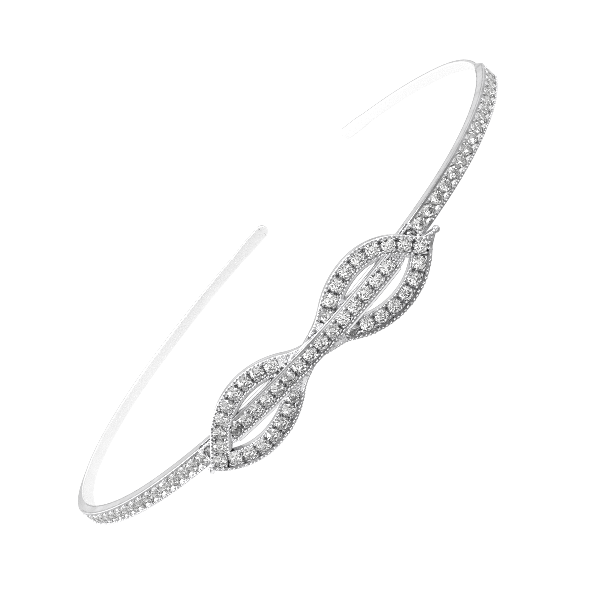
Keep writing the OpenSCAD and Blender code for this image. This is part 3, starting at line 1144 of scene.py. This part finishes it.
# %% Beads and prongs of the band
BEAD_R, PRONG_R, BEADS_EACH = 0.29, 0.36, 4
SHIFT, BEAD_SUNK, BAND_WEAR, LOOP_WEAR, FILL_WEAR = 0.06, 0.06, (0.86, 1.08), (0.84, 1.08), (0.8, 1.1)
BAND_BEAD_IN, BAND_PRONG_IN, UPPER_PRONG_IN = 0.3, 0.43, 0.42
STRANDS_OVER, FACE_N, POINT_Z = (19, 35), 2, -1.0
PAVED_COLUMNS, PAVED_ROWS = 14, 7
PAVED_FROM, PAVED_TO, PAVED_STEP, PAVED_ROW, PAVED_SHIFT = 23.1, 30.4, 0.55, 0.54, 0.27
PAVED_Z, PAVED_SUNK, PAVED_R, PAVED_CLEAR = -1.62, 0.15, 0.3, 0.12


def inside_motif(s, z, spare=0.1):
    """Whether a place on the band lies under a strand, or within the spare width beside it"""
    side = side_of(s)
    if not STRANDS_OVER[0] < abs(s - MOTIF_S) < STRANDS_OVER[1]:
        return False
    x = abs((MOTIF.inverted() @ band_point(s, z, FACE_N)).x)
    if x < SHARED[side].x:
        offsets = [(level, offset_from(side, level, x, z)) for level in (UPPER, LOWER)]
        return any(-INNER - spare < offset < OUT[level] + spare for level, offset in offsets)
    return x < POINT[side].x and z < POINT_Z


def band_beads():
    beads = []
    for row in (sorted(BAND_ROW[LEFT][1:]), BAR_ROW, BAND_ROW[RIGHT][1:]):
        for i in range(len(row) * BEADS_EACH + 1):
            s = row[0] - PITCH / 2 + i * PITCH / BEADS_EACH
            prong = i % BEADS_EACH == 0
            r, z = (PRONG_R, BAND_PRONG_IN - SET_W) if prong else (BEAD_R, BAND_BEAD_IN - SET_W)
            for across in (z, -z - UPPER_PRONG_IN) if prong else (z,):
                if not inside_motif(s, across):
                    at = band_point(s + dice.uniform(-SHIFT, SHIFT), across, SET_T - BEAD_SUNK)
                    beads.append((at, r * dice.uniform(*BAND_WEAR)))
    return beads


def paved_beads(side):
    """Between the strands at both edges of the motif's end, where no whole stone fits"""
    beads = []
    for i in range(PAVED_COLUMNS):
        for k in range(PAVED_ROWS):
            d, z = PAVED_FROM + i * PAVED_STEP + PAVED_SHIFT * (k % 2), PAVED_Z + k * PAVED_ROW
            s = MOTIF_S + side * d
            free = math.hypot(d - (SIDE_START - PITCH), z) >= STONE_D / 2 + PAVED_CLEAR
            if d <= PAVED_TO and free and not inside_motif(s, z, -0.2):
                beads.append((band_point(s, z, SET_T - PAVED_SUNK), PAVED_R * dice.uniform(*FILL_WEAR)))
    return beads


beads = band_beads() + paved_beads(LEFT) + paved_beads(RIGHT)
bead_piece("band_beads", beads)
print(len(beads), "beads on the band")

# %% [markdown]
# Both edges of each strand have beads and prongs, but not where the bar runs over them. A second row on
# the lower strands' outer wall looks out below the first. The necks beside the crossing are too narrow
# for stones and are filled with beads, and one large bead ends each point.

# %% Beads and prongs of the strands
STRAND_BEAD_IN, STRAND_PRONG_IN, BAR_CLEAR, BAR_OVER = 0.22, 0.34, 0.1, 21
WALL_FROM, WALL_PITCH, WALL_IN, WALL_DOWN, WALL_SHIFT, WALL_R = 4, 0.62, 0.08, 0.62, 0.08, 0.26
NECK_FROM, NECK_PITCH, NECK_ACROSS, NECK_END, NECK_SLANT = 2.0, 0.72, (-0.9, -0.25, 0.4, 1.0), 1.9, 0.15
NECK_SUNK, NECK_R, FILL_CLEAR = 0.1, 0.36, 0.2
SHARED_PRONGS, SHARED_R, LONG_POINT, END_R = (62, 20, -25, -62), 1.62, 3.5, BEAD_END * 0.97
# Beads in the longer point: right of the shared stone, up from it, and radius
POINT_BEADS, POINT_SUNK = ((2.05, 0.05, 0.34), (2.6, 0.42, 0.3), (2.55, -0.4, 0.32), (3.1, 0.05, 0.4)), 0.04


def edge_beads(side, level):
    beads = []
    gap, first = GAP[side, level], ROW_FROM[side, level]
    step = gap / BEADS_EACH
    for i in range(-int(first / step), int(round((WHOLE[side, level] - first) / step)) + 1):
        s = first - gap / 2 + i * step
        prong = i % BEADS_EACH == 0 and i >= 0
        r, edge = (PRONG_R, STRAND_PRONG_IN) if prong else (BEAD_R, STRAND_BEAD_IN)
        for u in (OUT[level] - edge, edge - INNER):
            if not crossing_mitre(side, level, u) <= s <= fork_mitre(side, level, u):
                continue
            x, z = beside(side, level, s, u)
            if abs(z) >= SET_W + BAR_CLEAR or x >= BAR_OVER:
                at = face_point(side, x + dice.uniform(-SHIFT, SHIFT), z, -BEAD_SUNK - sunk_at(s))
                beads.append((at, r * dice.uniform(*LOOP_WEAR)))
    return beads


def wall_beads(side):
    """The second row, on the lower strand's outer wall"""
    beads = []
    for i in range(int((WHOLE[side, LOWER] - WALL_FROM) / WALL_PITCH)):
        x, z = beside(side, LOWER, WALL_FROM + i * WALL_PITCH, OUT[LOWER] - WALL_IN)
        if z < -SET_W - FILL_CLEAR:
            at = face_point(side, x, z, -WALL_DOWN + dice.uniform(-WALL_SHIFT, WALL_SHIFT))
            beads.append((at, WALL_R * dice.uniform(*FILL_WEAR)))
    return beads


def neck_beads(side, level):
    """The neck has no stones: rows of beads fill it up to the bar"""
    beads = []
    s = NECK_FROM
    while s < ROW_FROM[side, level] - NECK_END:
        for u in NECK_ACROSS:
            x, z = beside(side, level, s + NECK_SLANT * abs(u), u)
            if abs(z) > SET_W + FILL_CLEAR:
                at = face_point(side, x, z, -NECK_SUNK - sunk_at(s))
                beads.append((at, NECK_R * dice.uniform(*FILL_WEAR)))
        s += NECK_PITCH
    return beads


def point_beads(side):
    """Prongs round the shared stone, beads in a long point, and the bead at its end"""
    middle = SHARED[side]
    beads = []
    for a in [math.radians(degrees) for degrees in SHARED_PRONGS]:
        ray = Vector((math.cos(a), math.sin(a)))
        x, z = middle.x + ray.x * SHARED_R, middle.y + ray.y * SHARED_R
        beads.append((face_point(side, x, z, -BEAD_SUNK), PRONG_R))
    for right, up, r in POINT_BEADS if TIP[side] > LONG_POINT else ():
        beads.append((face_point(side, middle.x + right, middle.y + up, -POINT_SUNK), r))
    return beads + [(face_point(side, middle.x + TIP[side], middle.y, 0), END_R)]


for side in (RIGHT, LEFT):
    beads = edge_beads(side, UPPER) + neck_beads(side, UPPER)
    beads += edge_beads(side, LOWER) + wall_beads(side) + neck_beads(side, LOWER) + point_beads(side)
    bead_piece(f"loop_{SIDE_NAME[side]}_beads", beads)
    print(len(beads), "beads on the", SIDE_NAME[side], "loop")
